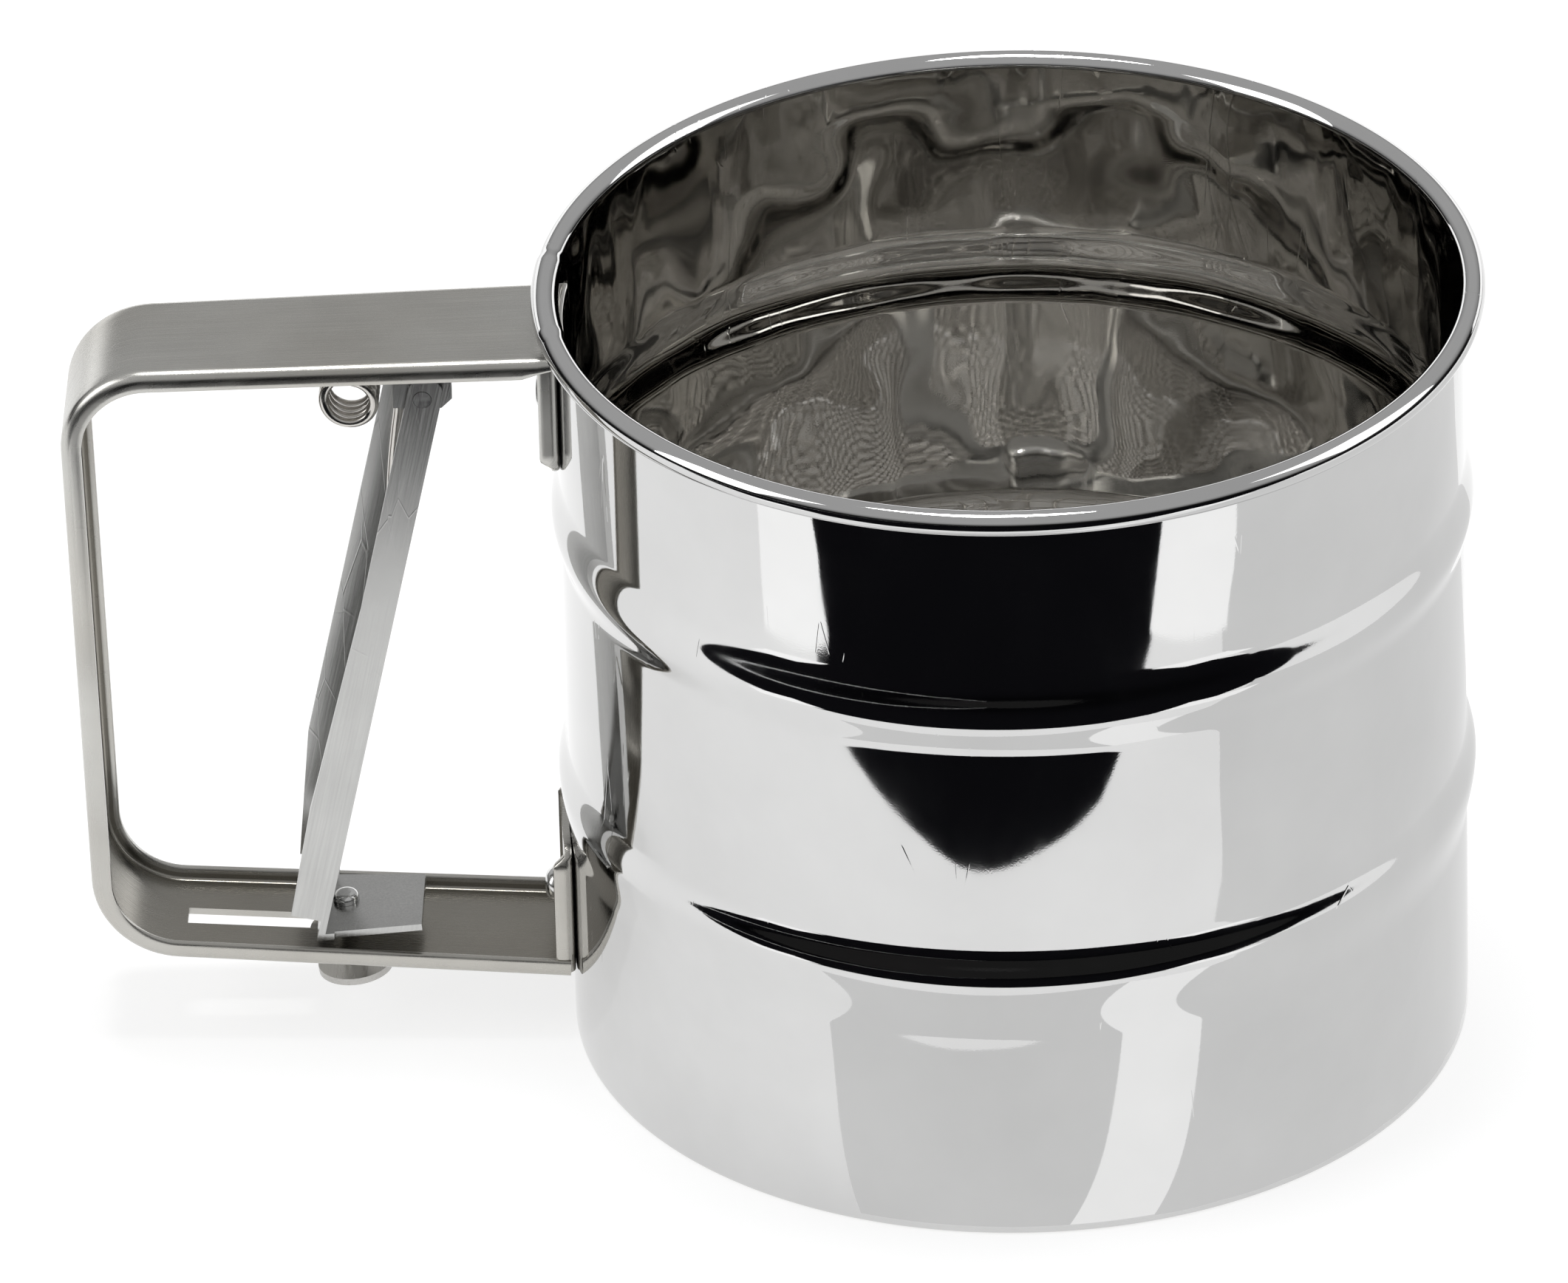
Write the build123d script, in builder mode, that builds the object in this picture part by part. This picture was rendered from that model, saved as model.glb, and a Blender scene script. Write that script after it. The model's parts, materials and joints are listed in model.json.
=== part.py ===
from build123d import *
import os
from math import acos, atan2, cos, degrees, hypot, pi, radians, sin, tan

# Squeeze-handle flour sifter, in millimetres. +Z is up, the origin is the centre of the
# cup's base, and the handle points along -X.

# ---- driving dimensions -------------------------------------------------------------

# cup: a thin sheet can with two rolled beads and a curled rim
body_r = 50.0  # outside of the wall
sheet = 0.6
cup_height = 92.6
curl_r = 1.55  # outside of the rim's curl
curl_tail = -118.0  # where the curl ends, in degrees, after going over the top
bead_out = 1.0
lower_bead_z = 31.6
lower_bead_half = 6.2
upper_bead_below_rim = 27.4
upper_bead_half = 5.0

# handle: one bent strip of shallow channel, its lips turned in
strip = 0.8
strip_depth = 2.3
handle_width = 18.2  # at the cup
grip_width = 16.6
handle_corner_r = 10.0
handle_edge_r = 0.7
top_leg_below_rim = 5.25
low_leg_z = 7.8
top_leg_reach = 54.6  # wall to the outside of the grip
low_leg_reach = 53.0
top_leg_fall = 2.15
low_leg_rise = 2.9
upper_tab_length = 15.3
lower_tab_length = 16.6
tab_corner_r = 3.0

# rivets that hold the handle on
rivet_head_r = 1.95
upper_rivet_head_h = 1.4
lower_rivet_head_h = 2.1
rivet_shank_r = 1.3
rivet_shop_r = 1.9
rivet_shop_h = 0.9
upper_rivet_drop = 8.8  # below the top leg's outer face
lower_rivet_rise = 7.1  # above the low leg's outer face

# trigger: a lever of channel that hangs from the pivot, its web towards the cup
trigger_sheet = 0.8
trigger_half = 7.1
trigger_lean = 12.4  # degrees from upright, at rest
trigger_squeeze = 11.0  # degrees of travel
near_flange_depth = 3.8
far_flange_depth = 5.8
pivot_reach = 14.4
pivot_drop = 4.5
pivot_to_web = 2.1
foot_length = 10.8
foot_near_half = 6.7
foot_far_half = 5.6  # at the web, narrowing to
foot_tip_half = 3.9
foot_tilt = 5.5
foot_clearance = 1.8
foot_rivet_in = 2.05
web_top_drop = 2.9  # below the pivot
flange_top = 2.6  # above it
flange_foot_rise = 1.6
trigger_bend_r = 0.5
flange_corner_r = 2.4

# trigger pin and bracket
pin_r = 1.0
pin_end = 0.05  # how far it stands out of the trigger's sides
ear_inner = 4.8
ear_sheet = 0.8
bracket_front = 3.2
bracket_back = 3.3
ear_drop = 1.9  # below the pivot
ear_chamfer = 1.2

# return spring
wire_r = 0.55
coil_r = 2.8  # to the middle of the wire
coil_turns = 4
coil_pitch = 1.25
coil_reach = 8.4
coil_drop = 2.9
spring_leg_drop = 21.7
spring_leg_back = 9.7
spring_bend_reach = 3.3
spring_bend_drop = 0.9
spring_bend_r = 1.6

# foot rivet and washer
foot_shank_r = 1.3
foot_head_r = 1.5
foot_head_h = 1.1
foot_washer_r = 4.2
foot_washer_h = 0.8
foot_tail_r = 2.3
foot_tail_h = 0.8
slot_spare = 3.0

# push bar
bar = 0.8
bar_width = 8.0
bar_eye_r = 4.6
bar_gap = 0.25
bar_bend_x = -36.0
bar_turn_x = -22.0

# crank and agitator, on an axle held by the bridge bar
crank_y = 14.0
crank_pin_r = 1.5
crank_pin_neck_r = 1.0
crank_pin_head_r = 2.2
crank_pin_head_h = 0.6
crank_arm_z = 4.5
crank_arm_h = 1.0
crank_hub_r = 6.0
crank_rim = 2.2
crank_pin_foot_z = 4.0
axle_r = 2.0
axle_head_r = 3.5
axle_head_h = 1.0
hub_r = 4.0
bridge_z = 3.0
bridge_sheet = 0.8
bridge_width = 10.0
bridge_tab_h = 3.6
spacer_r = 3.2
screen_z = 9.2
screen_h = 0.5
screen_hole_gap = 0.6
ring_width = 2.0
top_ring_h = 1.4
retaining_ring_h = 1.2
rotor_z = 10.5
rotor_collar_h = 1.4
rotor_collar_r = 6.5
rotor_blade_h = 2.6
rotor_blade_w = 5.0
rotor_blade_t = 1.0
rotor_blades = 4
rotor_wall_gap = 2.2
cap_washer_r = 4.6
cap_washer_h = 0.6
cap_r = 3.6
cap_h = 2.4

# clearances
running = 0.05  # radial, a pin that turns in its hole
end_play = 0.15
seat_gap = 0.05  # curved sheet against curved sheet
fixed_gap = 0.02  # radial, a pin or rivet that is fixed in its hole
slide_gap = 0.3
stop_gap = 0.5

# ---- places worked out from them ----------------------------------------------------
# x is measured from the cup's axis here; the planes below put that axis in its place.

inner_r = body_r - sheet
curl_z = cup_height - curl_r
curl_x = inner_r + curl_r
upper_bead_z = cup_height - upper_bead_below_rim

top_leg_z = cup_height - top_leg_below_rim
top_slope = top_leg_fall / top_leg_reach
low_slope = low_leg_rise / low_leg_reach


def top_face(x):
    """Height of the top leg's outer face."""
    return top_leg_z + top_slope * (x + body_r)


def low_face(x):
    """Height of the low leg's outer face."""
    return low_leg_z - low_slope * (x + body_r)


pivot_x = -body_r - pivot_reach
pivot_z = top_face(pivot_x) - strip - pivot_drop
lean = radians(trigger_lean)

# the lever's length puts the foot just over the low leg's floor
foot_over = strip + foot_clearance + trigger_sheet
lever = (
    pivot_z - pivot_to_web * sin(lean) - low_leg_z - foot_over
    + low_slope * (body_r + pivot_x + pivot_to_web * cos(lean))
) / (cos(lean) + low_slope * sin(lean))
foot_x = pivot_x + pivot_to_web * cos(lean) - lever * sin(lean)
foot_z = pivot_z - pivot_to_web * sin(lean) - lever * cos(lean)
tilt = radians(foot_tilt)
rivet_x = foot_x + foot_rivet_in * cos(tilt)
rivet_z = foot_z + foot_rivet_in * sin(tilt)


def shank_x(angle, depth):
    """Where the foot rivet's axis is `depth` under the low leg's face, and how far down it."""
    swing = radians(angle)
    dx, dz = rivet_x - pivot_x, rivet_z - pivot_z
    x = pivot_x + dx * cos(swing) + dz * sin(swing)
    z = pivot_z - dx * sin(swing) + dz * cos(swing)
    nx, nz = sin(tilt - swing), -cos(tilt - swing)
    down = (z - low_face(x) + depth) / (-nz - low_slope * nx)
    return x + down * nx, down


bar_depth = bar_gap + bar / 2
bar_eye_x, _ = shank_x(0, bar_depth)
bar_end_x, shank_drop = shank_x(trigger_squeeze, bar_depth)
bar_travel = bar_eye_x - bar_end_x
steps = 20
bar_error = max(
    abs(shank_x(trigger_squeeze * i / steps, bar_depth)[0] - (bar_eye_x - bar_travel * i / steps))
    for i in range(steps + 1)
)
washer_drop = shank_drop + bar / 2 + stop_gap
slot_near, _ = shank_x(0, -strip / 2)
slot_far, _ = shank_x(trigger_squeeze, -strip / 2)

crank_x = bar_travel / 2
crank_angle = degrees(atan2(crank_y, crank_x))
agitator_turn = 2 * (90 - crank_angle)
crank_reach = hypot(crank_x, crank_y)
bar_flat_z = low_face(bar_bend_x) - bar_gap - bar

# the origin is half way between the grip's outside and the rim's far side
grip_x = -body_r - top_leg_reach
cup_axis_x = (-grip_x - inner_r - 2 * curl_r) / 2
cup_axis = Axis((cup_axis_x, 0, 0), (0, 0, 1))
side = Plane(origin=(cup_axis_x, 0, 0), x_dir=(1, 0, 0), z_dir=(0, -1, 0))


def level(z):
    return Plane(origin=(cup_axis_x, 0, z), x_dir=(1, 0, 0), z_dir=(0, 0, 1))


def facing(x):
    return Plane(origin=(cup_axis_x + x, 0, 0), x_dir=(0, 1, 0), z_dir=(1, 0, 0))


lever_plane = Plane(
    origin=(cup_axis_x + pivot_x, 0, pivot_z), x_dir=(cos(lean), 0, -sin(lean)), z_dir=(0, -1, 0)
)
rivet_plane = Plane(
    origin=(cup_axis_x + rivet_x, 0, rivet_z),
    x_dir=(cos(tilt), 0, sin(tilt)), z_dir=(-sin(tilt), 0, cos(tilt)),
)
os.makedirs("parts", exist_ok=True)

# ---- cup ----------------------------------------------------------------------------


def wall_side(x):
    """One side of the sheet, from the base up to the curl, with its two beads."""
    low = [(x, lower_bead_z - lower_bead_half), (x + bead_out, lower_bead_z),
           (x, lower_bead_z + lower_bead_half)]
    high = [(x, upper_bead_z - upper_bead_half), (x + bead_out, upper_bead_z),
            (x, upper_bead_z + upper_bead_half)]
    Line((x, 0), low[0])
    Spline(low, tangents=((0, 1), (0, 1)))
    Line(low[2], high[0])
    Spline(high, tangents=((0, 1), (0, 1)))
    Line(high[2], (x, curl_z))


with BuildPart() as cup_body:
    with BuildSketch(side):
        with BuildLine():
            wall_side(body_r)
            wall_side(inner_r)
            Line((inner_r, 0), (body_r, 0))
            outer_arc = CenterArc((curl_x, curl_z), curl_r, 180, curl_tail - 180)
            inner_arc = CenterArc((curl_x, curl_z), curl_r - sheet, 180, curl_tail - 180)
            Line(outer_arc @ 1, inner_arc @ 1)
        make_face()
    revolve(axis=cup_axis)
    # rivet holes, and the slot that the push bar slides through
    upper_rivet_z = top_leg_z - upper_rivet_drop
    lower_rivet_z = low_leg_z + lower_rivet_rise
    with BuildSketch(facing(-body_r - bead_out)):
        with Locations((0, upper_rivet_z), (0, lower_rivet_z)):
            Circle(rivet_shank_r + fixed_gap)
        with Locations((0, low_leg_z - bar_gap - bar / 2)):
            Rectangle(bar_width + 2 * slide_gap, bar + 2 * (bar_gap - 0.02))
    extrude(amount=body_r / 2, mode=Mode.SUBTRACT)
cup_body.part.label = "cup_body"
export_step(cup_body.part, "parts/cup_body.step")

# ---- screen -------------------------------------------------------------------------

with BuildPart() as mesh_screen:
    with BuildSketch(level(screen_z)):
        Circle(inner_r - seat_gap)
        Circle(hub_r + screen_hole_gap, mode=Mode.SUBTRACT)
    extrude(amount=screen_h)
mesh_screen.part.label = "mesh_screen"
export_step(mesh_screen.part, "parts/mesh_screen.step")

with BuildPart() as screen_top_ring:
    with BuildSketch(level(screen_z + screen_h)):
        Circle(inner_r - seat_gap)
        Circle(inner_r - ring_width, mode=Mode.SUBTRACT)
    extrude(amount=top_ring_h)
    fillet(screen_top_ring.edges().group_by(Axis.Z)[-1].sort_by(SortBy.LENGTH)[0], ring_width / 4)
screen_top_ring.part.label = "screen_top_ring"
export_step(screen_top_ring.part, "parts/screen_top_ring.step")

with BuildPart() as screen_retaining_ring:
    with BuildSketch(level(screen_z - retaining_ring_h)):
        Circle(inner_r - seat_gap)
        Circle(inner_r - ring_width, mode=Mode.SUBTRACT)
    extrude(amount=retaining_ring_h)
screen_retaining_ring.part.label = "screen_retaining_ring"
export_step(screen_retaining_ring.part, "parts/screen_retaining_ring.step")

# ---- bridge bar and axle ------------------------------------------------------------

with BuildPart() as bridge_bar:
    with BuildSketch(facing(0)):
        with BuildLine():
            strap = Polyline(
                (-inner_r, bridge_z + bridge_tab_h), (-inner_r, bridge_z),
                (inner_r, bridge_z), (inner_r, bridge_z + bridge_tab_h),
            )
            offset(strap, amount=bridge_sheet, side=Side.LEFT)
        make_face()
    extrude(amount=bridge_width / 2, both=True)
    with BuildSketch(level(0)):
        Circle(inner_r - seat_gap)
        Circle(axle_r + fixed_gap, mode=Mode.SUBTRACT)
    extrude(amount=cup_height, mode=Mode.INTERSECT)
bridge_bar.part.label = "bridge_bar"
export_step(bridge_bar.part, "parts/bridge_bar.step")

bridge_top = bridge_z + bridge_sheet
rotor_top = rotor_z + rotor_collar_h
washer_z = rotor_top + end_play
cap_z = washer_z + cap_washer_h

with BuildPart() as agitator_axle:
    with BuildSketch(level(bridge_z - axle_head_h)):
        Circle(axle_head_r)
    extrude(amount=axle_head_h)
    fillet(agitator_axle.faces().sort_by(Axis.Z)[0].edges(), axle_head_h / 2)
    with BuildSketch(level(bridge_z)):
        Circle(axle_r)
    extrude(amount=cap_z + cap_h / 2 - bridge_z)
agitator_axle.part.label = "agitator_axle"
export_step(agitator_axle.part, "parts/agitator_axle.step")

with BuildPart() as axle_spacer:
    with BuildSketch(level(bridge_top)):
        Circle(spacer_r)
        Circle(axle_r + fixed_gap, mode=Mode.SUBTRACT)
    extrude(amount=crank_arm_z - end_play - bridge_top)
axle_spacer.part.label = "axle_spacer"
export_step(axle_spacer.part, "parts/axle_spacer.step")

with BuildPart() as axle_washer:
    with BuildSketch(level(washer_z)):
        Circle(cap_washer_r)
        Circle(axle_r + fixed_gap, mode=Mode.SUBTRACT)
    extrude(amount=cap_washer_h)
axle_washer.part.label = "axle_washer"
export_step(axle_washer.part, "parts/axle_washer.step")

with BuildPart() as axle_cap:
    with BuildSketch(level(cap_z)):
        Circle(cap_r)
    extrude(amount=cap_h)
    fillet(axle_cap.faces().sort_by(Axis.Z)[-1].edges(), cap_h / 2)
    with BuildSketch(level(cap_z)):
        Circle(axle_r + fixed_gap)
    extrude(amount=cap_h / 2, mode=Mode.SUBTRACT)
axle_cap.part.label = "axle_cap"
export_step(axle_cap.part, "parts/axle_cap.step")

# ---- agitator -----------------------------------------------------------------------

arm_plane = Plane(
    origin=(cup_axis_x, 0, crank_arm_z),
    x_dir=(cos(radians(crank_angle)), sin(radians(crank_angle)), 0), z_dir=(0, 0, 1),
)
arm_slot_r = crank_pin_r + slide_gap

with BuildPart() as crank_arm:
    with BuildSketch(arm_plane):
        Circle(crank_hub_r)
        with Locations(((crank_y + crank_reach) / 2, 0)):
            SlotCenterToCenter(
                crank_reach - crank_y + 2 * slide_gap, 2 * (arm_slot_r + crank_rim)
            )
        with BuildLine():
            Polyline(
                (0, crank_hub_r), (crank_y, arm_slot_r + crank_rim),
                (crank_y, -arm_slot_r - crank_rim), (0, -crank_hub_r), close=True,
            )
        make_face()
        with Locations(((crank_y + crank_reach) / 2, 0)):
            SlotCenterToCenter(
                crank_reach - crank_y + 2 * slide_gap, 2 * arm_slot_r, mode=Mode.SUBTRACT
            )
        Circle(axle_r + running, mode=Mode.SUBTRACT)
    extrude(amount=crank_arm_h)
crank_arm.part.label = "crank_arm"
export_step(crank_arm.part, "parts/crank_arm.step")

with BuildPart() as agitator_hub:
    with BuildSketch(level(crank_arm_z + crank_arm_h)):
        Circle(hub_r)
        Circle(axle_r + running, mode=Mode.SUBTRACT)
    extrude(amount=rotor_z - crank_arm_z - crank_arm_h)
agitator_hub.part.label = "agitator_hub"
export_step(agitator_hub.part, "parts/agitator_hub.step")

blade_tip_r = inner_r - ring_width - rotor_wall_gap

with BuildPart() as agitator_rotor:
    with BuildSketch(level(rotor_z)):
        Circle(rotor_collar_r)
    extrude(amount=rotor_collar_h)
    # each arm is a flat strip with its leading edge turned up
    with BuildSketch(level(rotor_z)):
        with PolarLocations(0, rotor_blades, start_angle=45):
            with Locations((blade_tip_r / 2, 0)):
                Rectangle(blade_tip_r, rotor_blade_w)
    extrude(amount=rotor_blade_t)
    with BuildSketch(level(rotor_z)):
        with PolarLocations(0, rotor_blades, start_angle=45):
            with Locations((rotor_collar_r, (rotor_blade_w - rotor_blade_t) / 2)):
                Rectangle(
                    blade_tip_r - rotor_collar_r, rotor_blade_t, align=(Align.MIN, Align.CENTER)
                )
    extrude(amount=rotor_blade_h)
    with BuildSketch(level(rotor_z)):
        Circle(axle_r + running)
    extrude(amount=rotor_blade_h, mode=Mode.SUBTRACT)
agitator_rotor.part.label = "agitator_rotor"
export_step(agitator_rotor.part, "parts/agitator_rotor.step")

# ---- push bar -----------------------------------------------------------------------

with BuildPart() as push_bar:
    # side view: under the leg it follows the leg's slope, inside the cup it is level
    bar_back_x = bar_eye_x - 2 * bar_eye_r
    with BuildSketch(side):
        with BuildLine():
            Polyline(
                (bar_back_x, low_face(bar_back_x) - bar_gap),
                (bar_bend_x, bar_flat_z + bar),
                (crank_reach + crank_y, bar_flat_z + bar),
                (crank_reach + crank_y, bar_flat_z),
                (bar_bend_x, bar_flat_z),
                (bar_back_x, low_face(bar_back_x) - bar_gap - bar),
                close=True,
            )
        make_face()
    extrude(amount=crank_y + bar_width, both=True)
    with BuildSketch(level(0)):
        with Locations(((bar_eye_x + bar_turn_x) / 2, 0)):
            Rectangle(bar_turn_x - bar_eye_x, bar_width)
        turned = degrees(atan2(crank_y, crank_x - bar_turn_x))
        with Locations(Location(((bar_turn_x + crank_x) / 2, crank_y / 2, 0), (0, 0, turned))):
            Rectangle(hypot(crank_x - bar_turn_x, crank_y), bar_width)
        with Locations((bar_turn_x, 0), (crank_x, crank_y)):
            Circle(bar_width / 2)
        with Locations((bar_eye_x, 0)):
            Circle(bar_eye_r)
            SlotCenterToCenter(
                2 * bar_error + slide_gap, 2 * (foot_shank_r + slide_gap), mode=Mode.SUBTRACT
            )
        with Locations((crank_x, crank_y)):
            Circle(crank_pin_neck_r, mode=Mode.SUBTRACT)
    extrude(amount=cup_height, mode=Mode.INTERSECT)
push_bar.part.label = "push_bar"
export_step(push_bar.part, "parts/push_bar.step")

with BuildPart() as crank_pin:
    for radius, start, height in (
        (crank_pin_r, crank_pin_foot_z, bar_flat_z - crank_pin_foot_z),
        (crank_pin_neck_r - fixed_gap, bar_flat_z, bar),
        (crank_pin_head_r, bar_flat_z + bar, crank_pin_head_h),
    ):
        with BuildSketch(level(start)):
            with Locations((crank_x, crank_y)):
                Circle(radius)
        extrude(amount=height)
crank_pin.part.label = "crank_pin"
export_step(crank_pin.part, "parts/crank_pin.step")

# ---- handle -------------------------------------------------------------------------

top_corner = (-body_r - top_leg_reach, top_face(-body_r - top_leg_reach))
low_corner = (-body_r - low_leg_reach, low_face(-body_r - low_leg_reach))
past_wall = -body_r / 2


def rail_points(depth):
    """Corners of the strip's side view at a depth below its outer face."""
    return (
        (past_wall, top_face(past_wall) - depth),
        (top_corner[0] + depth, top_face(top_corner[0] + depth) - depth),
        (low_corner[0] + depth, low_face(low_corner[0] + depth) + depth),
        (past_wall, low_face(past_wall) + depth),
    )


def plan_points(inset):
    """Outline of the strip from above, narrower at the grip."""
    wide = handle_width / 2 - inset
    narrow = grip_width / 2 - inset
    widen = (wide - narrow) / top_leg_reach
    far = 2 * top_leg_reach
    return (
        (0, wide + widen * body_r), (-body_r - far, wide - widen * far),
        (-body_r - far, widen * far - wide), (0, -wide - widen * body_r),
    )


with BuildPart() as trough:
    with BuildSketch(side):
        with BuildLine():
            outer = FilletPolyline(*rail_points(strip), radius=handle_corner_r - strip)
            inner = FilletPolyline(*rail_points(2 * strip_depth), radius=handle_corner_r - 2 * strip_depth)
            Line(outer @ 0, inner @ 0)
            Line(outer @ 1, inner @ 1)
        make_face()
    extrude(amount=handle_width, both=True)
    with BuildSketch(level(0)):
        with BuildLine():
            Polyline(*plan_points(strip), close=True)
        make_face()
    extrude(amount=cup_height, mode=Mode.INTERSECT)

with BuildPart() as tabs:
    tab_half = handle_width / 2 - handle_edge_r
    with BuildSketch(level(0)):
        Circle(body_r + seat_gap + strip)
        Circle(body_r + seat_gap, mode=Mode.SUBTRACT)
    extrude(amount=cup_height)
    with BuildSketch(facing(-body_r * 1.2)):
        with BuildLine():
            top, end = top_leg_z - strip / 2, top_leg_z - upper_tab_length
            Polyline(
                (-tab_half, top), (-tab_half, end + tab_corner_r),
                (-tab_half + tab_corner_r, end), (tab_half - tab_corner_r, end),
                (tab_half, end + tab_corner_r), (tab_half, top), close=True,
            )
        make_face()
        with BuildLine():
            top, end = low_leg_z + strip / 2, low_leg_z + lower_tab_length
            Polyline(
                (-tab_half, top), (-tab_half, end - tab_corner_r),
                (-tab_half + tab_corner_r, end), (tab_half - tab_corner_r, end),
                (tab_half, end - tab_corner_r), (tab_half, top), close=True,
            )
        make_face()
    extrude(amount=body_r, mode=Mode.INTERSECT)
    # the strip's lips run on down the tabs' sides
    for start, end, way in (
        (top_leg_z - strip, top_leg_z - upper_tab_length, -1),
        (low_leg_z + strip, low_leg_z + lower_tab_length, 1),
    ):
        lip_x = -body_r - seat_gap - strip_depth
        with BuildSketch(side.offset(-tab_half)):
            with BuildLine():
                Polyline(
                    (-body_r / 2, start), (lip_x, start), (lip_x, end - way * tab_corner_r),
                    (lip_x + strip, end), (-body_r / 2, end), close=True,
                )
            make_face()
        extrude(amount=strip)
        with BuildSketch(side.offset(tab_half)):
            with BuildLine():
                Polyline(
                    (-body_r / 2, start), (lip_x, start), (lip_x, end - way * tab_corner_r),
                    (lip_x + strip, end), (-body_r / 2, end), close=True,
                )
            make_face()
        extrude(amount=-strip)
    with BuildSketch(level(0)):
        Circle(body_r + seat_gap)
    extrude(amount=cup_height, mode=Mode.SUBTRACT)

with BuildPart() as handle_strip:
    with BuildSketch(side):
        with BuildLine():
            outer = FilletPolyline(*rail_points(0), radius=handle_corner_r)
            inner = FilletPolyline(*rail_points(strip_depth), radius=handle_corner_r - strip_depth)
            Line(outer @ 0, inner @ 0)
            Line(outer @ 1, inner @ 1)
        make_face()
    extrude(amount=handle_width, both=True)
    with BuildSketch(level(0)):
        with BuildLine():
            Polyline(*plan_points(0), close=True)
        make_face()
    extrude(amount=cup_height, mode=Mode.INTERSECT)
    # round the long outer edges: the faces at +-Y meet the band's outside there
    side_faces = handle_strip.faces().sort_by(Axis.Y)
    side_edges = side_faces[0].edges() + side_faces[-1].edges()
    fillet(
        [
            edge for edge in side_edges
            if edge.center().Z > top_face(edge.center().X - cup_axis_x) - handle_edge_r
            or edge.center().Z < low_face(edge.center().X - cup_axis_x) + handle_edge_r
            or edge.center().X < cup_axis_x + low_corner[0] + strip_depth / 2
        ],
        handle_edge_r,
    )
    add(trough.part, mode=Mode.SUBTRACT)
    # the legs stop at the wall, and tabs bent up and down from them lie against it
    with BuildSketch(level(0)):
        Circle(body_r + seat_gap)
    extrude(amount=cup_height, mode=Mode.SUBTRACT)
    add(tabs.part)
    # rivet holes, and the slot that the foot rivet runs in
    with BuildSketch(facing(-body_r - 2 * strip)):
        with Locations((0, upper_rivet_z), (0, lower_rivet_z)):
            Circle(rivet_shank_r + fixed_gap)
    extrude(amount=body_r / 2, mode=Mode.SUBTRACT)
    with BuildSketch(level(0)):
        slot_start = slot_far - slot_spare
        with Locations(((slot_near + stop_gap + slot_start) / 2, 0)):
            SlotCenterToCenter(
                slot_near + stop_gap - slot_start, 2 * (foot_shank_r + slide_gap)
            )
    extrude(amount=cup_height / 2, mode=Mode.SUBTRACT)
handle_strip.part.label = "handle_strip"
export_step(handle_strip.part, "parts/handle_strip.step")

for name, height, rivet_head_h in (
    ("upper_handle_rivet", upper_rivet_z, upper_rivet_head_h),
    ("lower_handle_rivet", lower_rivet_z, lower_rivet_head_h),
):
    seat = body_r + seat_gap + strip
    with BuildPart() as handle_rivet:
        with BuildSketch(facing(-seat - fixed_gap)):
            with Locations((0, height)):
                Circle(rivet_head_r)
        extrude(amount=-rivet_head_h)
        fillet(handle_rivet.faces().sort_by(Axis.X)[0].edges(), rivet_head_h * 0.6)
        with BuildSketch(facing(-seat - fixed_gap)):
            with Locations((0, height)):
                Circle(rivet_shank_r)
        extrude(amount=seat - inner_r + rivet_shop_h)
        with BuildSketch(facing(fixed_gap - (inner_r**2 - rivet_shop_r**2) ** 0.5)):
            with Locations((0, height)):
                Circle(rivet_shop_r)
        extrude(amount=rivet_shop_h)
    handle_rivet.part.label = name
    export_step(handle_rivet.part, f"parts/{name}.step")

# ---- trigger ------------------------------------------------------------------------
# Drawn in the lever's own plane, with the pivot at its origin.

foot_end = -lever
near_x = pivot_to_web - near_flange_depth
far_x = pivot_to_web - far_flange_depth
flange_end = foot_end + flange_foot_rise

with BuildPart() as trigger:
    with BuildSketch(lever_plane):
        with BuildLine():
            bend = (pivot_to_web, foot_end)
            turn = lean + tilt
            tip = (bend[0] + foot_length * cos(turn), foot_end + foot_length * sin(turn))
            under = (tip[0] + trigger_sheet * sin(turn), tip[1] - trigger_sheet * cos(turn))
            heel = (
                pivot_to_web - trigger_sheet,
                foot_end - trigger_sheet * (1 + sin(turn)) / cos(turn),
            )
            Polyline(
                (pivot_to_web, -web_top_drop), bend, tip, under, heel,
                (heel[0], -web_top_drop), close=True,
            )
        make_face()
    extrude(amount=trigger_half, both=True)
    flanges = (
        (-trigger_half, [(far_x, flange_top), (far_x, -0.75 * lever), (near_x, flange_end)]),
        (trigger_half, [
            (near_x, flange_top), (near_x, -0.4 * lever),
            (near_x - trigger_sheet, -0.78 * lever), (near_x - trigger_sheet / 2, flange_end),
        ]),
    )
    for face_y, edge_points in flanges:
        with BuildSketch(lever_plane.offset(face_y)):
            with BuildLine():
                Polyline(
                    (pivot_to_web, flange_end), (pivot_to_web, flange_top), *edge_points,
                    close=True,
                )
            face = make_face()
            fillet(face.vertices().group_by(Axis.Y)[-1], flange_corner_r * 0.7)
            Circle(pin_r + running, mode=Mode.SUBTRACT)
        extrude(amount=-trigger_sheet if face_y > 0 else trigger_sheet)
    # the foot is narrower than the channel, and tapers on its far side
    with BuildSketch(level(foot_z - 3)):
        root_x, end_x = foot_x + 1, foot_x + foot_length + 1
        for edge_points in (
            ((root_x, foot_far_half), (end_x, foot_tip_half)),
            ((root_x, -foot_near_half), (end_x, -foot_near_half)),
        ):
            with BuildLine():
                beyond = 2 * trigger_half * (1 if edge_points[0][1] > 0 else -1)
                Polyline(*edge_points, (end_x, beyond), (root_x, beyond), close=True)
            make_face()
    extrude(amount=6, mode=Mode.SUBTRACT)
    # the foot rivet's hole
    with BuildSketch(rivet_plane.offset(1)):
        Circle(foot_shank_r + fixed_gap)
    extrude(amount=-trigger_sheet - 2, mode=Mode.SUBTRACT)
trigger.part.label = "trigger"
export_step(trigger.part, "parts/trigger.step")

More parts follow.
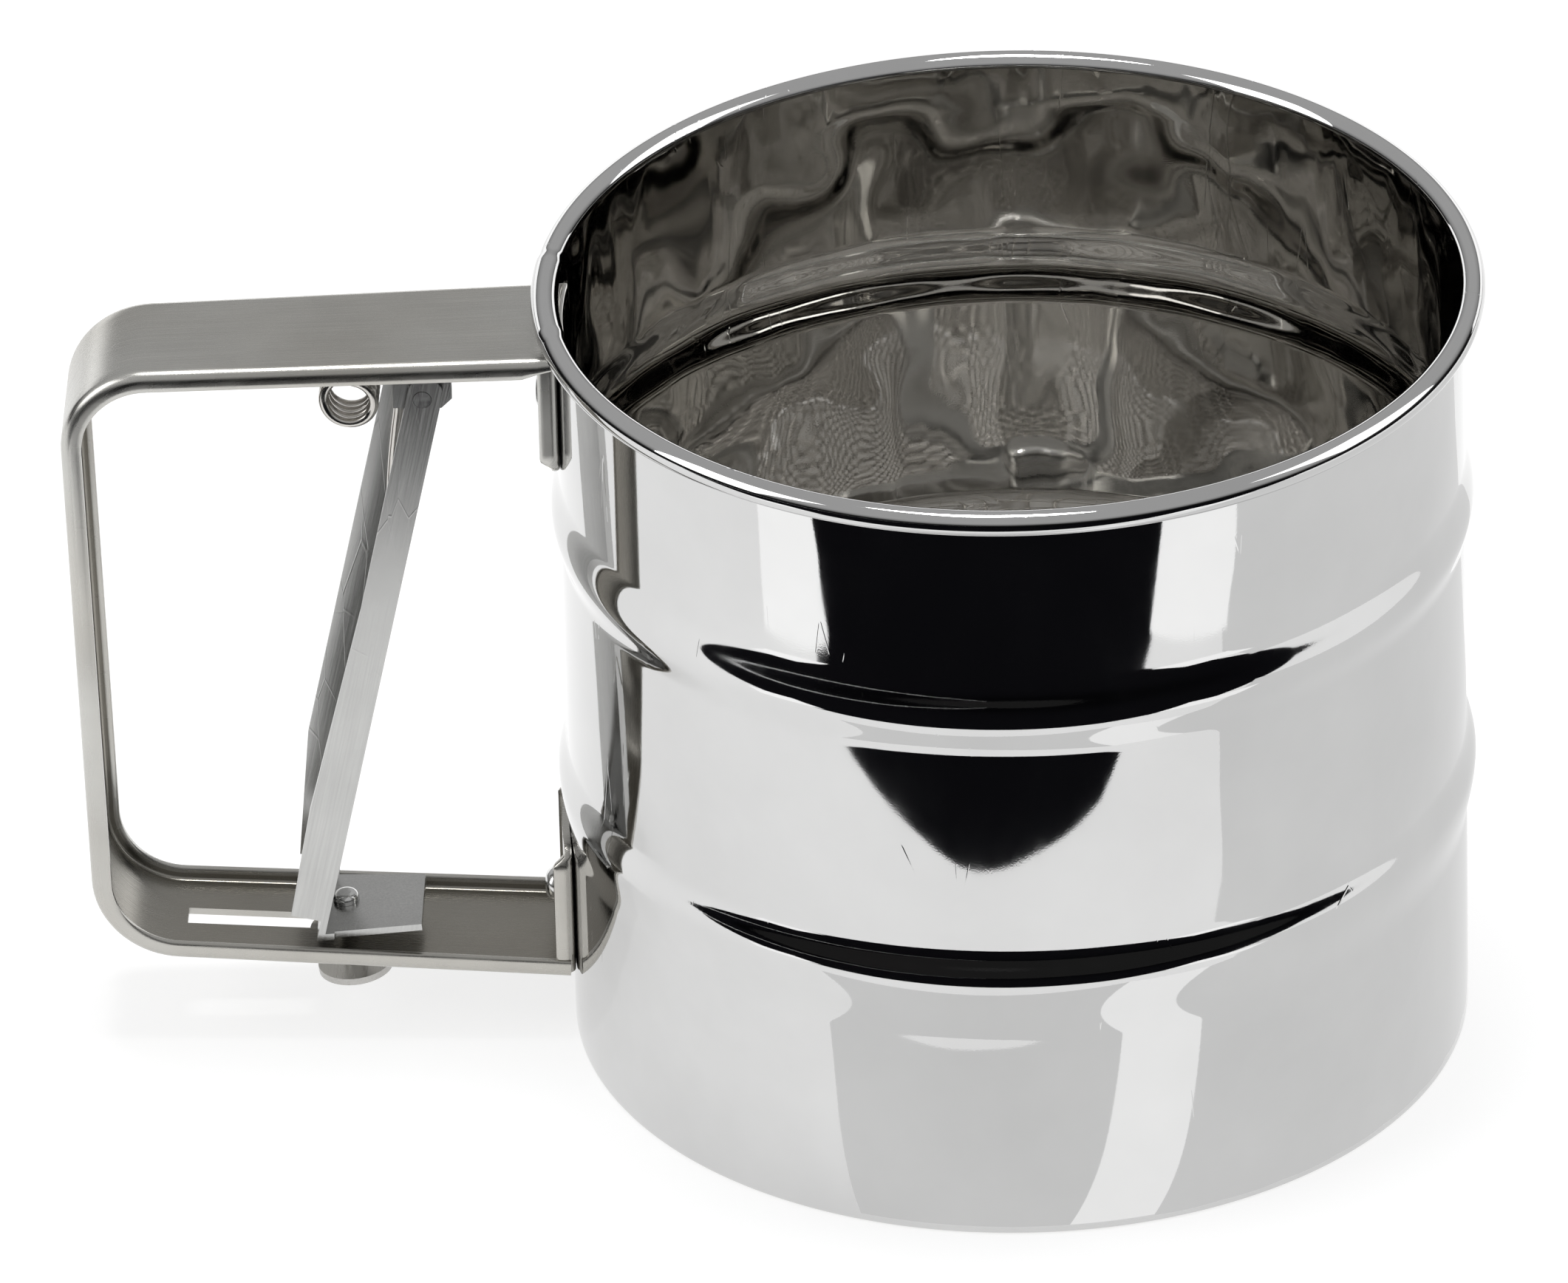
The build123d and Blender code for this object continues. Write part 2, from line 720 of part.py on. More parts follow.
with BuildPart() as trigger_pin:
    pin_side = Plane(origin=lever_plane.origin, x_dir=(1, 0, 0), z_dir=(0, -1, 0))
    with BuildSketch(pin_side):
        Circle(pin_r)
    extrude(amount=trigger_half + pin_end, both=True)
trigger_pin.part.label = "trigger_pin"
export_step(trigger_pin.part, "parts/trigger_pin.step")

with BuildPart() as pivot_bracket:
    # a U whose base lies under the top leg, its ears hanging to the pin
    base_front = pivot_x + bracket_front
    base_back = pivot_x - bracket_back
    with BuildSketch(side):
        with BuildLine():
            Polyline(
                (base_back, top_face(base_back) - strip),
                (base_front, top_face(base_front) - strip),
                (base_front, pivot_z - ear_drop + ear_chamfer),
                (base_front - ear_chamfer, pivot_z - ear_drop),
                (base_back, pivot_z - ear_drop), close=True,
            )
        make_face()
    extrude(amount=ear_inner + ear_sheet, both=True)
    with BuildSketch(side):
        with BuildLine():
            Polyline(
                (base_back - 1, top_face(base_back - 1) - strip - ear_sheet),
                (base_front + 1, top_face(base_front + 1) - strip - ear_sheet),
                (base_front + 1, pivot_z - ear_drop - 1),
                (base_back - 1, pivot_z - ear_drop - 1), close=True,
            )
        make_face()
    extrude(amount=ear_inner, both=True, mode=Mode.SUBTRACT)
    with BuildSketch(pin_side):
        Circle(pin_r + fixed_gap)
    extrude(amount=trigger_half, both=True, mode=Mode.SUBTRACT)
pivot_bracket.part.label = "pivot_bracket"
export_step(pivot_bracket.part, "parts/pivot_bracket.step")

# ---- return spring ------------------------------------------------------------------

coil_x = pivot_x - coil_reach
coil_z = pivot_z - coil_drop
# one leg bears up on the top leg, the other lies down the trigger's web
up_x = coil_x - spring_leg_back
up_z = top_face(up_x) - strip - wire_r - 0.15
spread = atan2(up_z - coil_z, up_x - coil_x)
spring_start = spread - acos(coil_r / hypot(up_x - coil_x, up_z - coil_z))
spring_turns = coil_turns - (pi / 2 - spring_start) % (2 * pi) / (2 * pi)
coil_length = coil_pitch * spring_turns
web_down_z = pivot_z - spring_leg_drop
web_down_x = (
    pivot_x + (pivot_to_web - trigger_sheet - wire_r - 0.15) / cos(lean)
    - (pivot_z - web_down_z) * tan(lean)
)

coil_plane = Plane(
    origin=(cup_axis_x + coil_x, -coil_length / 2, coil_z),
    x_dir=(cos(spring_start), 0, sin(spring_start)), z_dir=(0, 1, 0),
)
coil_path = coil_plane * Helix(coil_pitch, coil_length, coil_r)

with BuildPart() as trigger_spring:
    with BuildSketch(Plane(origin=coil_path @ 0, z_dir=coil_path % 0)):
        Circle(wire_r)
    sweep(path=coil_path, is_frenet=True)
    with BuildSketch(Plane(origin=coil_path @ 0, z_dir=-(coil_path % 0))):
        Circle(wire_r)
    extrude(amount=hypot(up_x - coil_x, up_z - coil_z) - coil_r / 4)
    with BuildLine() as down_leg:
        leg_y = (coil_path @ 1).Y
        FilletPolyline(
            coil_path @ 1,
            (cup_axis_x + pivot_x - spring_bend_reach, leg_y, pivot_z - spring_bend_drop),
            (cup_axis_x + web_down_x, leg_y, web_down_z),
            radius=spring_bend_r,
        )
    with BuildSketch(Plane(origin=down_leg.line @ 0, z_dir=down_leg.line % 0)):
        Circle(wire_r)
    sweep(path=down_leg.line)
trigger_spring.part.label = "trigger_spring"
export_step(trigger_spring.part, "parts/trigger_spring.step")

# ---- foot rivet and washer ----------------------------------------------------------

with BuildPart() as foot_rivet:
    tail_z = -washer_drop - foot_washer_h - fixed_gap
    with BuildSketch(rivet_plane.offset(fixed_gap)):
        Circle(foot_head_r)
    extrude(amount=foot_head_h)
    fillet(foot_rivet.edges().sort_by(Axis.Z)[-1], foot_head_h * 0.7)
    with BuildSketch(rivet_plane.offset(fixed_gap)):
        Circle(foot_shank_r)
    extrude(amount=tail_z - fixed_gap)
    with BuildSketch(rivet_plane.offset(tail_z)):
        Circle(foot_tail_r)
    extrude(amount=-foot_tail_h)
foot_rivet.part.label = "foot_rivet"
export_step(foot_rivet.part, "parts/foot_rivet.step")

with BuildPart() as foot_washer:
    with BuildSketch(rivet_plane.offset(-washer_drop)):
        Circle(foot_washer_r)
        Circle(foot_shank_r + fixed_gap, mode=Mode.SUBTRACT)
    extrude(amount=-foot_washer_h)
foot_washer.part.label = "foot_washer"
export_step(foot_washer.part, "parts/foot_washer.step")
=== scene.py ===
import json
from math import asin, cos, hypot, pi, radians, sin, sqrt, tan

import bmesh
import bpy
from mathutils import Matrix, Vector


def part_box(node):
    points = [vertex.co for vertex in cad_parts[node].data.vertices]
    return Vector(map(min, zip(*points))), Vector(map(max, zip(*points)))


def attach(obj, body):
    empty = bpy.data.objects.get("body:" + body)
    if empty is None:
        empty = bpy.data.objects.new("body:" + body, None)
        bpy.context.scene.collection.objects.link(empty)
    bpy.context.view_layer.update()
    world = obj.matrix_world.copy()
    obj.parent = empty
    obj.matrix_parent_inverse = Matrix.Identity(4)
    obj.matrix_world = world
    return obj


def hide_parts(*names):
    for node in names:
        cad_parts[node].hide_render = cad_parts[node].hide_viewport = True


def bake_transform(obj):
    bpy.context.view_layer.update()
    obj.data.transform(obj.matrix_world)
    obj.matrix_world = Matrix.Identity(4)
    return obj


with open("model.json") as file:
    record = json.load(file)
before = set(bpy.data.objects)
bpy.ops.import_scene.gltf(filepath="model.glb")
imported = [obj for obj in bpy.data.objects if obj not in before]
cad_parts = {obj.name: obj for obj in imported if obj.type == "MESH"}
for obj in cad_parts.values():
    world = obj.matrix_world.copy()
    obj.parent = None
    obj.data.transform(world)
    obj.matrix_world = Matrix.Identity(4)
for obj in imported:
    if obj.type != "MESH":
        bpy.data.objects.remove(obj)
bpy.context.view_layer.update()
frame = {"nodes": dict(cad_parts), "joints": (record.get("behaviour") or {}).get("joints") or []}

nodes = frame["nodes"]
joints = {j["name"]: j for j in frame["joints"]}
MM = 0.001
screen_low, screen_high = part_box("mesh_screen")
AXIS = (screen_low.x + screen_high.x) / 2  # where the cup's axis stands, along x
SCENE = bpy.context.scene


# ---- node helpers -------------------------------------------------------------------
def new_material(name):
    mat = bpy.data.materials.new(name)
    mat.use_nodes = True
    tree = mat.node_tree
    tree.nodes.clear()
    out = tree.nodes.new("ShaderNodeOutputMaterial")
    bsdf = tree.nodes.new("ShaderNodeBsdfPrincipled")
    tree.links.new(bsdf.outputs["BSDF"], out.inputs["Surface"])
    return mat, tree, bsdf


def node(tree, kind, **settings):
    made = tree.nodes.new(kind)
    for key, value in settings.items():
        if key in made.inputs:
            made.inputs[key].default_value = value
        else:
            setattr(made, key, value)
    return made


def noise(tree, coords, scale, stretch=(1, 1, 1), detail=3.0, rough=0.55, turn=(0, 0, 0)):
    """Noise over the object's own coordinates, with scale in marks per metre."""
    turned = node(tree, "ShaderNodeMapping")
    turned.inputs["Rotation"].default_value = turn
    tree.links.new(coords, turned.inputs["Vector"])
    mapping = node(tree, "ShaderNodeMapping")
    mapping.inputs["Scale"].default_value = [scale * s for s in stretch]
    tree.links.new(turned.outputs["Vector"], mapping.inputs["Vector"])
    tex = node(tree, "ShaderNodeTexNoise", Scale=1.0, Detail=detail, Roughness=rough)
    tree.links.new(mapping.outputs["Vector"], tex.inputs["Vector"])
    return tex.outputs["Fac"]


def ramp(tree, source, stops):
    made = node(tree, "ShaderNodeValToRGB")
    made.color_ramp.elements[0].position = stops[0][0]
    made.color_ramp.elements[0].color = (*stops[0][1], 1)
    made.color_ramp.elements[1].position = stops[-1][0]
    made.color_ramp.elements[1].color = (*stops[-1][1], 1)
    for place, colour in stops[1:-1]:
        element = made.color_ramp.elements.new(place)
        element.color = (*colour, 1)
    tree.links.new(source, made.inputs["Fac"])
    return made.outputs["Color"]


def grey(value):
    return (value, value, value)


def darker(colour, factor):
    return [c * factor for c in colour]


def multiply(tree, first, second):
    made = node(tree, "ShaderNodeMix", data_type="RGBA", blend_type="MULTIPLY")
    made.inputs["Factor"].default_value = 1.0
    tree.links.new(first, made.inputs["A"])
    tree.links.new(second, made.inputs["B"])
    return made.outputs["Result"]


def multiply_values(tree, first, second):
    made = node(tree, "ShaderNodeMath", operation="MULTIPLY")
    tree.links.new(first, made.inputs[0])
    tree.links.new(second, made.inputs[1])
    return made.outputs[0]


def to_range(tree, source, low, high, new_low, new_high):
    made = node(tree, "ShaderNodeMapRange")
    for key, value in (("From Min", low), ("From Max", high), ("To Min", new_low),
                       ("To Max", new_high)):
        made.inputs[key].default_value = value
    tree.links.new(source, made.inputs["Value"])
    return made.outputs["Result"]


def bump(tree, bsdf, heights):
    """Chains bumps from (height socket, strength, distance)."""
    normal = None
    for height, strength, distance in heights:
        made = node(tree, "ShaderNodeBump", Strength=strength, Distance=distance)
        tree.links.new(height, made.inputs["Height"])
        if normal:
            tree.links.new(normal, made.inputs["Normal"])
        normal = made.outputs["Normal"]
    tree.links.new(normal, bsdf.inputs["Normal"])


def scratches(tree, coords, scale, turn):
    """Fine lines on the edges of long cells: 1 on a line and 0 elsewhere."""
    width = 0.012  # of a line, in cells
    mapping = node(tree, "ShaderNodeMapping")
    mapping.inputs["Scale"].default_value = (scale, scale, scale * 0.16)
    mapping.inputs["Rotation"].default_value = turn
    tree.links.new(coords, mapping.inputs["Vector"])
    tex = node(tree, "ShaderNodeTexVoronoi", feature="DISTANCE_TO_EDGE", Scale=1.0)
    tree.links.new(mapping.outputs["Vector"], tex.inputs["Vector"])
    return to_range(tree, tex.outputs["Distance"], 0.0, width, 1.0, 0.0)


def mirror_steel(name, tone, wave_height, streaks=False):
    """Polished sheet: faint haze, slow waves in the sheet and a few hairline scratches."""
    mat, tree, bsdf = new_material(name)
    coords = node(tree, "ShaderNodeTexCoord").outputs["Object"]
    haze = noise(tree, coords, 60, detail=5)
    smear = noise(tree, coords, 260, stretch=(1, 1, 0.35), detail=4)
    hazy = multiply_values(tree, haze, smear)
    tree.links.new(to_range(tree, hazy, 0.2, 0.45, 0.03, 0.07), bsdf.inputs["Roughness"])
    tree.links.new(
        ramp(tree, haze, [(0.3, darker(tone, 0.94)), (0.7, tone)]), bsdf.inputs["Base Color"]
    )
    bsdf.inputs["Metallic"].default_value = 1.0
    wave = noise(tree, coords, 38, stretch=(1, 1, 0.7), detail=1.5)
    fine = noise(tree, coords, 5200, detail=1)
    lines = scratches(tree, coords, 240, (0.5, 0.4, 0.2))
    keep = to_range(tree, noise(tree, coords, 90, detail=2), 0.59, 0.65, 0.0, 1.0)
    sparse = multiply_values(tree, lines, keep)
    heights = [(wave, 0.25, wave_height), (sparse, 0.1, 0.00006), (fine, 0.05, 0.00001)]
    if streaks:
        drawn = noise(tree, coords, 75, stretch=(1, 1, 0.22), detail=2, rough=0.4)
        heights.insert(1, (drawn, 0.3, 0.0011))
    bump(tree, bsdf, heights)
    return mat


def brushed_steel(name, colour, along, rough, strength=0.25, turn=(0, 0, 0)):
    """Steel with fine brushing along one axis, faint blotches and a few scratches."""
    mat, tree, bsdf = new_material(name)
    coords = node(tree, "ShaderNodeTexCoord").outputs["Object"]
    stretch = [1.0, 1.0, 1.0]
    stretch[along] = 0.02
    grain = noise(tree, coords, 5400, stretch=stretch, detail=3, turn=turn)
    blotch = noise(tree, coords, 130, detail=4)
    tree.links.new(to_range(tree, grain, 0.3, 0.7, *rough), bsdf.inputs["Roughness"])
    tint = multiply(
        tree,
        ramp(tree, grain, [(0.3, grey(0.86)), (0.7, grey(1.0))]),
        ramp(tree, blotch, [(0.3, darker(colour, 0.93)), (0.7, colour)]),
    )
    tree.links.new(tint, bsdf.inputs["Base Color"])
    bsdf.inputs["Metallic"].default_value = 1.0
    lines = scratches(tree, coords, 420, (0.3, 0.9, 0.2))
    bump(tree, bsdf, [(grain, strength, 0.00003), (lines, 0.12, 0.00004)])
    return mat


def plain_steel(name, colour, roughness):
    """Steel with nothing but a fine mottle, for rivets and wire."""
    mat, tree, bsdf = new_material(name)
    coords = node(tree, "ShaderNodeTexCoord").outputs["Object"]
    spots = noise(tree, coords, 900, detail=5)
    tree.links.new(
        to_range(tree, spots, 0.3, 0.7, roughness * 0.75, roughness * 1.35),
        bsdf.inputs["Roughness"],
    )
    tree.links.new(
        ramp(tree, spots, [(0.3, darker(colour, 0.9)), (0.7, colour)]),
        bsdf.inputs["Base Color"],
    )
    bsdf.inputs["Metallic"].default_value = 1.0
    bump(tree, bsdf, [(spots, 0.12, 0.00003)])
    return mat


def strip_steel(name, colour):
    """Brushed strip: the grain runs along the strip, from its UVs."""
    mat, tree, bsdf = new_material(name)
    tex_coord = node(tree, "ShaderNodeTexCoord")
    uv, coords = tex_coord.outputs["UV"], tex_coord.outputs["Object"]
    grain = noise(tree, uv, 1.0, stretch=(0.6, 85, 1), detail=3)
    fine = noise(tree, uv, 1.0, stretch=(3, 260, 1), detail=2)
    blotch = noise(tree, coords, 85, detail=4)
    stain = noise(tree, coords, 26, detail=2)
    tree.links.new(to_range(tree, grain, 0.3, 0.7, 0.2, 0.33), bsdf.inputs["Roughness"])
    grained = multiply(
        tree,
        ramp(tree, grain, [(0.3, grey(0.94)), (0.7, grey(1.0))]),
        ramp(tree, blotch, [(0.32, darker(colour, 0.9)), (0.68, colour)]),
    )
    stained = multiply(
        tree,
        grained,
        ramp(tree, stain, [(0.35, (0.86, 0.84, 0.81)), (0.65, (1.0, 1.0, 1.0))]),
    )
    tree.links.new(stained, bsdf.inputs["Base Color"])
    bsdf.inputs["Metallic"].default_value = 1.0
    lines = scratches(tree, coords, 420, (0.3, 0.9, 0.2))
    bump(tree, bsdf, [(grain, 0.05, 0.00003), (fine, 0.05, 0.00001), (lines, 0.06, 0.00004)])
    return mat


LEVER_LEAN = radians(12.4)  # the trigger's brushing follows its lean
MIRROR = mirror_steel("mirror_steel", (0.645, 0.645, 0.643), 0.0012)
MIRROR_IN = mirror_steel("mirror_inside", (0.64, 0.628, 0.602), 0.009, streaks=True)
HANDLE = strip_steel("handle_steel", (0.60, 0.595, 0.57))
# painted shade: a darker, browner copy of the strip steel for the channel's inner side, for the
# shade and dark reflections inside it
HANDLE_PAINTED_SHADE = strip_steel("handle_inside_painted_shade", (0.37, 0.357, 0.325))
BRUSHED_TRIGGER = brushed_steel("brushed_trigger", (0.57, 0.57, 0.56), along=2,
                                rough=(0.19, 0.26), strength=0.06, turn=(0, -LEVER_LEAN, 0))
SATIN = brushed_steel("satin_steel", (0.56, 0.55, 0.53), along=1, rough=(0.25, 0.4))
RIVET = plain_steel("rivet_steel", (0.74, 0.74, 0.73), 0.16)
SPRING = plain_steel("spring_wire", (0.62, 0.60, 0.57), 0.16)
WIRE = plain_steel("mesh_wire", (0.44, 0.42, 0.39), 0.3)

BY_NODE = {
    "screen_top_ring": SATIN, "screen_retaining_ring": SATIN, "bridge_bar": SATIN,
    "agitator_axle": SATIN, "axle_spacer": SATIN, "axle_washer": SATIN, "axle_cap": RIVET,
    "handle_strip": HANDLE, "upper_handle_rivet": RIVET, "lower_handle_rivet": RIVET,
    "pivot_bracket": BRUSHED_TRIGGER, "trigger_pin": RIVET, "trigger": BRUSHED_TRIGGER,
    "foot_rivet": RIVET, "foot_washer": SATIN, "push_bar": SATIN, "crank_pin": SATIN,
    "crank_arm": SATIN, "agitator_hub": SATIN, "agitator_rotor": RIVET,
    "cup_body": MIRROR, "mesh_screen": WIRE, "trigger_spring": SPRING,
}
for name, mat in BY_NODE.items():
    mesh = nodes[name].data
    mesh.materials.clear()
    mesh.materials.append(mat)


# ---- mesh helpers -------------------------------------------------------------------
def link_mesh(name, mesh):
    obj = bpy.data.objects.new(name, mesh)
    SCENE.collection.objects.link(obj)
    return obj


def new_mesh(name, verts, faces):
    mesh = bpy.data.meshes.new(name)
    mesh.from_pydata(verts, [], faces)
    return mesh


def face_outwards(mesh, merge=False):
    bm = bmesh.new()
    bm.from_mesh(mesh)
    if merge:
        bmesh.ops.remove_doubles(bm, verts=bm.verts, dist=1e-7)
    bmesh.ops.recalc_face_normals(bm, faces=bm.faces)
    bm.to_mesh(mesh)
    bm.free()


def add_mesh(name, verts, faces, mat, slot_name, body="root"):
    """A smooth closed piece; with no body it is left to be blended over two."""
    mesh = new_mesh(name, [Vector(v) for v in verts], faces)
    mesh.validate()
    face_outwards(mesh, merge=True)
    obj = link_mesh(name, mesh)
    mesh.materials.append(mat)
    for poly in mesh.polygons:
        poly.use_smooth = True
    if body:
        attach(obj, body)
    return obj


def grid_faces(rows, n):
    """Faces of a skin over rows of n points each, with its two ends closed."""
    faces = []
    for i in range(rows - 1):
        for k in range(n):
            m = (k + 1) % n
            faces.append((i * n + k, i * n + m, (i + 1) * n + m, (i + 1) * n + k))
    faces.append(tuple(range(n))[::-1])
    faces.append(tuple((rows - 1) * n + k for k in range(n)))
    return faces


def ring_mesh(profile, steps):
    """Verts and faces of a closed profile of (r, z) turned about the cup's axis."""
    verts, faces = [], []
    n = len(profile)
    for i in range(steps):
        a = 2 * pi * i / steps
        for r, z in profile:
            verts.append((AXIS + r * cos(a), r * sin(a), z))
    for i in range(steps):
        j = (i + 1) % steps
        for k in range(n):
            m = (k + 1) % n
            faces.append((i * n + k, j * n + k, j * n + m, i * n + m))
    return verts, faces


def tube(pts, radius, sides):
    """Verts and faces of a round wire along a path of points, with rounded ends."""
    verts = []
    up = None
    last = len(pts) - 1
    rings = []
    for i, p in enumerate(pts):
        t = (pts[min(i + 1, last)] - pts[max(i - 1, 0)]).normalized()
        if up is None:
            up = t.orthogonal().normalized()
        up = (up - t * up.dot(t)).normalized()
        side = t.cross(up)
        rings.append((p, t, up, side))
    stations = []
    p, t, up, side = rings[0]
    for a in (80, 55, 25):
        stations.append((p - t * radius * sin(radians(a)), up, side, radius * cos(radians(a))))
    for p, t, up, side in rings:
        stations.append((p, up, side, radius))
    p, t, up, side = rings[-1]
    for a in (25, 55, 80):
        stations.append((p + t * radius * sin(radians(a)), up, side, radius * cos(radians(a))))
    for p, up, side, r in stations:
        for k in range(sides):
            a = 2 * pi * k / sides
            verts.append(p + up * (r * cos(a)) + side * (r * sin(a)))
    return verts, grid_faces(len(stations), sides)


# ---- cup ----------------------------------------------------------------------------
WALL = 49.4 * MM  # radius inside
SHEET = 0.6 * MM
CURL = 1.55 * MM  # outer radius of the rim's curl
CURL_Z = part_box("cup_body")[1].z - CURL
CURL_END = radians(-118)
# the two beads in mm: lower edge, crest, upper edge and how far they stand out
BEADS = ((25.0, 32.1, 36.6, 1.02), (61.0, 65.4, 70.6, 0.95))


def ease(t):
    t = min(max(t, 0.0), 1.0)
    return t * t * (3 - 2 * t)


def bead(z):
    """How far the wall stands out at a height in mm."""
    out = 0.0
    for low, peak, high, size in BEADS:
        if low < z <= peak:
            out = max(out, size * ease((z - low) / (peak - low)))
        elif peak < z < high:
            out = max(out, size * ease((high - z) / (high - peak)))
    return out * MM


# the wall's levels in mm, close together over the beads
heights = [0.0, 0.15, 0.4, 1, 3, 8, 14, 20, 24]
heights += [24.5 + 0.25 * i for i in range(56)]
heights += [39, 43, 48, 53, 57, 60]
heights += [60.5 + 0.25 * i for i in range(56)]
heights += [75, 78, 82, 86, 89]
outer = [(WALL + SHEET + bead(z), z * MM) for z in heights]
inner = [(WALL + bead(z), z * MM) for z in heights]
# the foot's edges are broken
outer[0] = (WALL + SHEET - 0.12 * MM, 0.0)
outer[1] = (WALL + SHEET - 0.02 * MM, 0.15 * MM)
inner[0] = (WALL + 0.12 * MM, 0.0)
inner[1] = (WALL + 0.02 * MM, 0.15 * MM)
ARC_STEPS = 44
arc = [pi - (pi - CURL_END) * i / ARC_STEPS for i in range(ARC_STEPS + 1)]


def curl(radius, turns):
    return [(WALL + CURL + radius * cos(a), CURL_Z + radius * sin(a)) for a in turns]


profile = inner + curl(CURL, arc) + curl(CURL - SHEET, reversed(arc)) + outer[::-1]
STEPS = 384  # around the cup
LAP_NEAR, LAP_FAR = -10.5 * MM, 5.9 * MM  # the seam's lap, across, on the handle's side
STEP = 0.14 * MM  # how far the rim sinks beside the lap


def on_lap(angle):
    return cos(angle) < 0 and LAP_NEAR < WALL * sin(angle) < LAP_FAR


verts, faces = ring_mesh(profile, STEPS)
for i, (x, y, z) in enumerate(verts):
    around, k = divmod(i, len(profile))
    angle = 2 * pi * around / STEPS
    if 0 <= k - len(inner) < len(arc) and not on_lap(angle):
        a = arc[k - len(inner)]
        verts[i] = (x - STEP * cos(a) * cos(angle), y - STEP * cos(a) * sin(angle),
                    z - STEP * sin(a))
cup = add_mesh("cup_shell", verts, faces, MIRROR, "mirror_steel")
cup.data.materials.append(MIRROR_IN)
for poly in cup.data.polygons:
    mid = poly.center
    middle_of_sheet = WALL + 0.5 * SHEET + bead(mid.z / MM)
    if mid.z < CURL_Z and hypot(mid.x - AXIS, mid.y) < middle_of_sheet:
        poly.material_index = 1
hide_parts("cup_body")

# the seam's lap, a plate inside the wall at the handle
LAP_STEPS = 24
LAP_SINK, LAP_STAND = 0.02 * MM, 0.42 * MM  # into the wall, and out of it
a0, a1 = pi - asin(LAP_FAR / WALL), pi - asin(LAP_NEAR / WALL)
levels = [h for h in heights if 12 <= h <= 89]
lap_profile = [(WALL + bead(h) + LAP_SINK, h * MM) for h in levels]
lap_profile += [(WALL + bead(h) - LAP_STAND, h * MM) for h in reversed(levels)]
verts = []
for i in range(LAP_STEPS + 1):
    a = a0 + (a1 - a0) * i / LAP_STEPS
    verts += [(AXIS + rr * cos(a), rr * sin(a), z) for rr, z in lap_profile]
lap = add_mesh("seam_lap", verts, grid_faces(LAP_STEPS + 1, len(lap_profile)), MIRROR_IN,
               "mirror_steel")
for poly in lap.data.polygons:
    poly.use_smooth = len(poly.vertices) == 4 and poly.area < 6e-6

# ---- mesh screen --------------------------------------------------------------------
SCREEN_R = (screen_high.x - screen_low.x) / 2
SCREEN_Z = (screen_low.z + screen_high.z) / 2
PITCH = 1.55 * MM
WIRE_R = 0.17 * MM
WIRE_SIDES = 5
HUB_HOLE = 4.5 * MM  # radius left open for the agitator's sleeve


def wire_spans(off):
    """The stretches of a wire at a distance from the middle, clear of the hub."""
    half = sqrt(max(SCREEN_R * SCREEN_R - off * off, 0)) - 0.1 * MM
    if half < 2 * PITCH:
        return []
    if abs(off) >= HUB_HOLE:
        return [(-half, half)]
    cut = sqrt(HUB_HOLE * HUB_HOLE - off * off)
    return [(-half, -cut), (cut, half)]


def add_wire(verts, faces, off, start, end, along_x, over):
    """One waved wire, passing over (1) or under (-1) its neighbour at the middle."""
    n = max(2, int((end - start) / (PITCH / 2)))
    base = len(verts)
    for k in range(n + 1):
        u = start + (end - start) * k / n
        z = SCREEN_Z + 0.95 * WIRE_R * cos(pi * u / PITCH) * over
        for s in range(WIRE_SIDES):
            ang = 2 * pi * s / WIRE_SIDES
            d, h = WIRE_R * cos(ang), WIRE_R * sin(ang)
            verts.append((AXIS + u, off + d, z + h) if along_x else (AXIS + off + d, u, z + h))
    for k in range(n):
        for s in range(WIRE_SIDES):
            t = (s + 1) % WIRE_SIDES
            faces.append((base + k * WIRE_SIDES + s, base + k * WIRE_SIDES + t,
                          base + (k + 1) * WIRE_SIDES + t, base + (k + 1) * WIRE_SIDES + s))


verts, faces = [], []
count = int(SCREEN_R / PITCH)
for way in (0, 1):
    for i in range(-count, count + 1):
        for start, end in wire_spans(i * PITCH):
            add_wire(verts, faces, i * PITCH, start, end, way == 0, 1 if (i + way) % 2 else -1)
mesh = new_mesh("woven_mesh", verts, faces)
for poly in mesh.polygons:
    poly.use_smooth = True
mesh.materials.append(WIRE)
woven = link_mesh("woven_mesh", mesh)
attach(woven, "root")
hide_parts("mesh_screen")

# ---- return spring ------------------------------------------------------------------
pivot = Vector(joints["trigger_swing"]["pos_m"])
SPRING_WIRE_R = 0.56 * MM
COIL_R = 2.8 * MM
COIL_PITCH = 1.27 * MM
TURNS = 4.2
STEPS_PER_TURN = 40
COIL_START = radians(74)
coil_x, coil_z = pivot.x - 8.4 * MM, pivot.z - 2.9 * MM
leg_y = TURNS * COIL_PITCH / 2
# the long leg's points from the pivot, in mm, down inside the trigger
LONG_LEG = [(-3.6, -1.7), (-3.0, -3.4), (-3.2, -6.5), (-3.6, -9.5), (-4.1, -14), (-4.55, -20)]


def on_coil(angle, y):
    return Vector((coil_x + COIL_R * cos(angle), y, coil_z + COIL_R * sin(angle)))


# the short leg, which rests under the handle's top leg, then the coil
short_end = Vector((pivot.x - 18.1 * MM, -leg_y, pivot.z + 3.09 * MM))
path = [short_end.lerp(on_coil(COIL_START, -leg_y), i / 12) for i in range(12)]
steps = int(TURNS * STEPS_PER_TURN)
for i in range(steps + 1):
    path.append(on_coil(COIL_START - (TURNS * 2 * pi) * i / steps,
                        (-0.5 + i / steps) * TURNS * COIL_PITCH))
